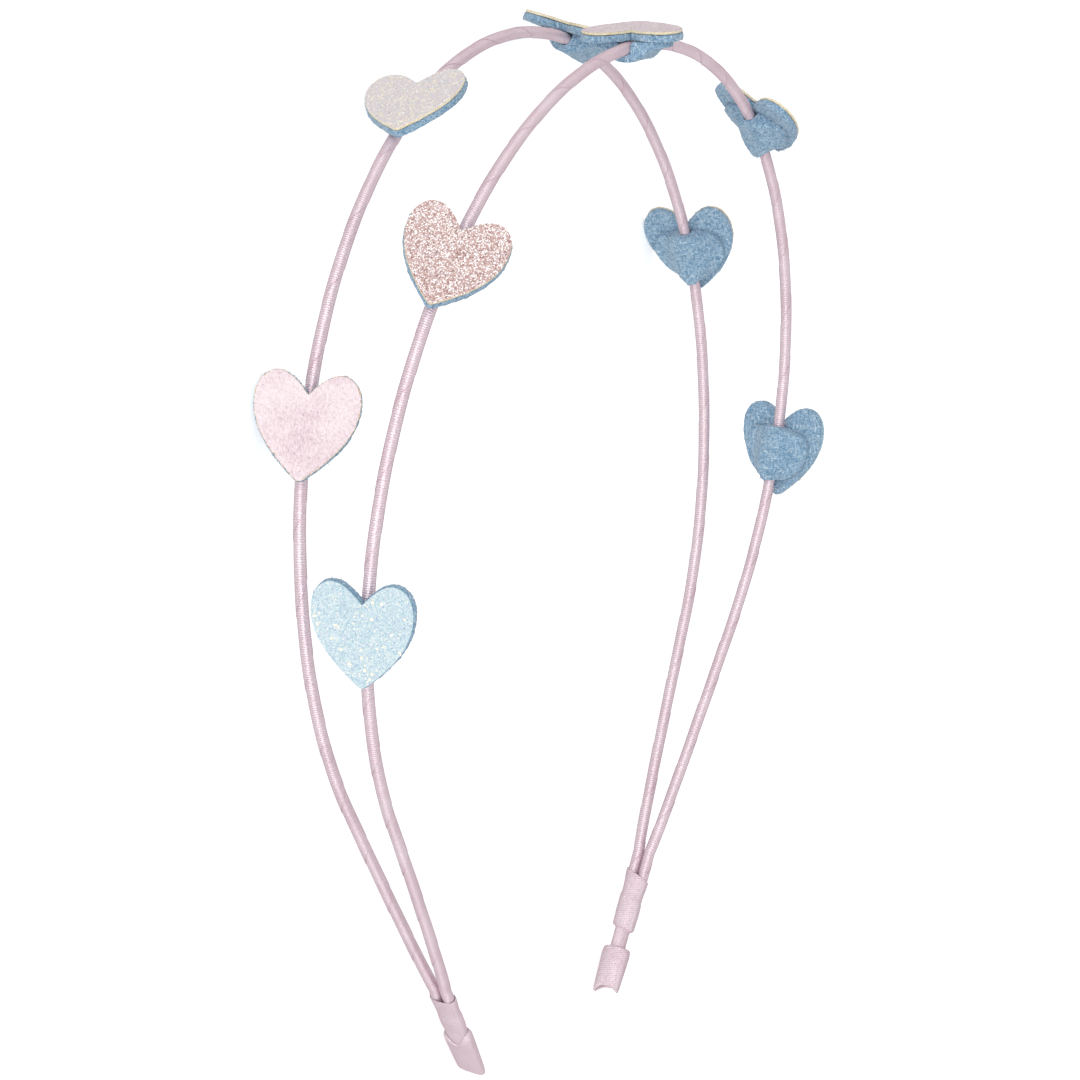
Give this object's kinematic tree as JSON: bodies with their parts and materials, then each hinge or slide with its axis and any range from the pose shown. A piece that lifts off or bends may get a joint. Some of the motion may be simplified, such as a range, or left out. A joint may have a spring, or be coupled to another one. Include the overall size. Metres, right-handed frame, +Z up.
{
  "type": "heart headband",
  "caption": "Double-band headband of two ribbon-wound wires that splay apart over the head, set with small felt hearts, bound together at both tips.",
  "frame": {"origin": "middle of the bounding box, on the surface that the headband lies on", "axes": "+Y from the tips to the crown, +X to the wearer's left side, +Z up from the back rod to the front rod as it lies"},
  "size_m": [0.1432, 0.1568, 0.036],
  "materials": {
    "ribbon": "pale pink satin ribbon, wound",
    "felt": "blue felt, fibrous",
    "blue_glitter": "pale blue glitter sheet",
    "rose_glitter": "rose glitter sheet",
    "white_glitter": "white iridescent glitter sheet",
    "pink_satin": "pale pink satin cloth"
  },
  "bodies": {
    "root": {"rod_back": "ribbon", "rod_front": "ribbon", "binding_left": "ribbon", "binding_right": "ribbon", "end_tab_left": "ribbon", "end_tab_right": "ribbon", "heart_face_front_left_low": "blue_glitter", "heart_face_back_left_low": "pink_satin", "heart_face_front_left_high": "rose_glitter", "heart_face_back_left_high": "white_glitter", "heart_face_front_crown": "pink_satin", "heart_face_back_right_high": "white_glitter", "heart_face_front_right_high": "rose_glitter", "heart_face_back_right_low": "pink_satin", "heart_face_front_right_low": "blue_glitter", "heart_felt_front_left_low": "felt", "heart_felt_back_left_low": "felt", "heart_felt_front_left_high": "felt", "heart_felt_back_left_high": "felt", "heart_felt_front_crown": "felt", "heart_felt_back_right_high": "felt", "heart_felt_front_right_high": "felt", "heart_felt_back_right_low": "felt", "heart_felt_front_right_low": "felt", "heart_patch_front_left_low": "felt", "heart_patch_back_left_low": "felt", "heart_patch_front_left_high": "felt", "heart_patch_back_left_high": "felt", "heart_patch_front_crown": "felt", "heart_patch_back_right_high": "felt", "heart_patch_front_right_high": "felt", "heart_patch_back_right_low": "felt", "heart_patch_front_right_low": "felt"}
  },
  "joints": []
}
